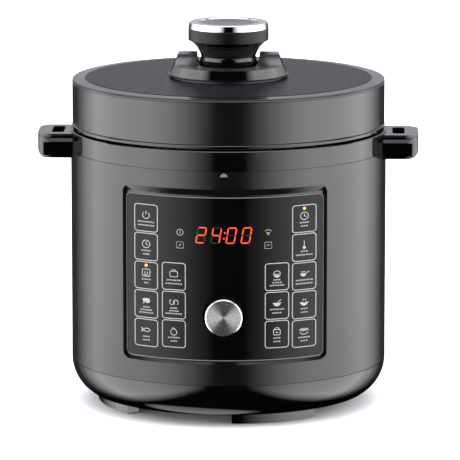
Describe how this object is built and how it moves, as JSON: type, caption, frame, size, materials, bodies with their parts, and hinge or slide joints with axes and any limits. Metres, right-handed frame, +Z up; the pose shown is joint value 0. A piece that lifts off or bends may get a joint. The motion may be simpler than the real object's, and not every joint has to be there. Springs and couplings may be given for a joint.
{
  "type": "electric pressure cooker",
  "caption": "Round countertop electric pressure cooker with lift-off lid, twist-lock knob, steam button, lift-out pot, curved touch panel and dial.",
  "frame": {"origin": "on the surface that the cooker stands on, under the axis of the body", "axes": "+Z up along the body's axis, front with the control panel towards -Y, +X to the right seen from the front"},
  "size_m": [0.3626, 0.335, 0.3644],
  "materials": {
    "body_paint": "satin anthracite",
    "lid_paint": "satin anthracite",
    "piano_black": "high gloss",
    "satin_black": "satin moulded",
    "trim": "satin",
    "lens": "gloss lens",
    "knob_steel": "polished",
    "spun_metal": "spun",
    "button_finish": "satin",
    "cast_aluminium": "cast",
    "sheet_steel": "brushed",
    "pot_coating": "non-stick inside",
    "element": "dark oxide",
    "screws": "zinc",
    "silicone": "translucent grey",
    "red_silicone": "matt",
    "foot_rubber": "matt",
    "circuit_board": "solder mask",
    "component": "moulded",
    "film": "polyimide",
    "copper_lead": "wire insulation",
    "contact_brass": "plain",
    "clear_cup": "clear",
    "float_red": "gloss",
    "bush": "acetal",
    "fuse": "ceramic"
  },
  "bodies": {
    "root": {"base_pan": "piano_black", "feet": "satin_black", "foot_pads": "foot_rubber", "base_screws": "screws", "body_shell": "body_paint", "collar_ring": "piano_black", "handle_left": "piano_black", "handle_right": "piano_black", "handle_caps": "piano_black", "handle_screws": "screws", "outer_pot": "sheet_steel", "lock_flange": "sheet_steel", "heating_plate": "cast_aluminium", "heating_element": "element", "heater_screws": "screws", "sensor_spring": "screws", "thermal_fuse": "fuse", "pressure_switch": "float_red", "panel_bezel": "satin_black", "panel_lens": "lens", "touch_film": "film", "control_board": "circuit_board", "display_module": "satin_black", "encoder": "screws", "dial_surround": "piano_black", "power_board": "circuit_board", "power_components": "component", "wiring": "copper_lead", "inlet_socket": "satin_black", "inlet_pins": "contact_brass", "cup_holder": "satin_black"},
    "lid": {"lid_cover": "satin_black", "lid_band": "lid_paint", "lid_trim": "trim", "lid_chassis": "satin_black", "inner_lid": "sheet_steel", "seal_ring": "silicone", "seal_rack": "screws", "lid_posts": "sheet_steel", "lid_screws": "screws", "vent_pipe": "sheet_steel", "vent_shield": "sheet_steel", "float_seal": "red_silicone", "handle_bar": "piano_black", "shaft_bush": "bush", "lever_pin": "screws"},
    "lock": {"lock_plate": "sheet_steel", "knob_shaft": "sheet_steel", "knob_body": "piano_black", "knob_ring": "knob_steel", "button_spring": "screws"},
    "button": {"release_button": "button_finish"},
    "lever": {"lever": "contact_brass"},
    "valve": {"steam_valve": "satin_black"},
    "float": {"float_pin": "float_red"},
    "pot": {"inner_pot": "pot_coating"},
    "sensor": {"sensor_cap": "cast_aluminium"},
    "dial": {"dial_knob": "satin_black", "dial_face": "spun_metal"},
    "cup": {"condensation_cup": "clear_cup"}
  },
  "joints": [
    {"name": "lid_lift", "type": "slide", "parent": "root", "child": "lid", "axis": [0, 0, 1], "range_m": [0, 0.44]},
    {"name": "lock_turn", "type": "hinge", "parent": "lid", "child": "lock", "pos_m": [0, 0, 0.3], "axis": [0, 0, 1], "range_deg": [-22.5, 0]},
    {"name": "button_press", "type": "slide", "parent": "lock", "child": "button", "axis": [0, 0, -1], "range_m": [0, 0.003], "stiffness_N_per_m": 1500, "springref_m": -0.002, "deforming": ["button_spring"]},
    {"name": "lever_tilt", "type": "hinge", "parent": "lid", "child": "lever", "pos_m": [0, 0.026, 0.2802], "axis": [1, 0, 0], "range_deg": [0, 6.7]},
    {"name": "valve_lift", "type": "slide", "parent": "lid", "child": "valve", "axis": [0, 0, 1], "range_m": [0, 0.004]},
    {"name": "float_rise", "type": "slide", "parent": "lid", "child": "float", "axis": [0, 0, 1], "range_m": [0, 0.004]},
    {"name": "pot_lift", "type": "slide", "parent": "root", "child": "pot", "axis": [0, 0, 1], "range_m": [0, 0.209]},
    {"name": "sensor_rise", "type": "slide", "parent": "root", "child": "sensor", "axis": [0, 0, 1], "range_m": [0, 0.0024], "deforming": ["sensor_spring"]},
    {"name": "dial_turn", "type": "hinge", "parent": "root", "child": "dial", "pos_m": [0, -0.15, 0.108], "axis": [0, -1, 0], "continuous": true},
    {"name": "cup_slide", "type": "slide", "parent": "root", "child": "cup", "axis": [0, 1, 0], "range_m": [0, 0.035]}
  ],
  "couplings": [
    {"joint": "pot_lift", "follows": "lid_lift", "ratio": 0.475},
    {"joint": "sensor_rise", "follows": "lid_lift", "ratio": 0.00545},
    {"joint": "lever_tilt", "follows": "button_press", "rad_per_m": 38.462},
    {"joint": "valve_lift", "follows": "button_press", "ratio": 1.3}
  ]
}
